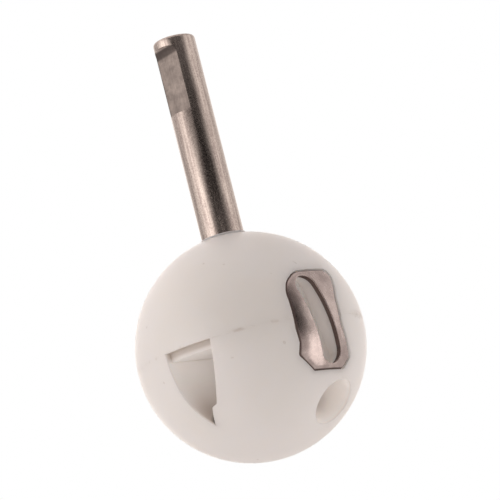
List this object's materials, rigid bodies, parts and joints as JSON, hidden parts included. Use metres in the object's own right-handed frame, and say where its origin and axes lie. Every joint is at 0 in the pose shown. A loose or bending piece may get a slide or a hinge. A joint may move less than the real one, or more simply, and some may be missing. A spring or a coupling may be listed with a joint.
{
  "type": "mixer tap control ball",
  "caption": "Plastic control ball of a single-handle mixer tap, with a steel stem, a steel guide plate, an outlet window and round inlet ports.",
  "frame": {"origin": "centre of the ball", "axes": "+Z along the stem to its tip, +X out through the guide plate, -Y out through the outlet window and square to the stem's flat"},
  "size_m": [0.0253, 0.0254, 0.0486],
  "materials": {
    "ball_plastic": "glossy, milky white moulding",
    "stem_steel": "drawn and ground rod, finely streaked",
    "guide_steel": "stamped, tumbled satin"
  },
  "bodies": {
    "root": {"stem": "stem_steel", "upper_ball_half": "ball_plastic", "lower_ball_half": "ball_plastic", "slot_guide_plate": "guide_steel"}
  },
  "joints": []
}
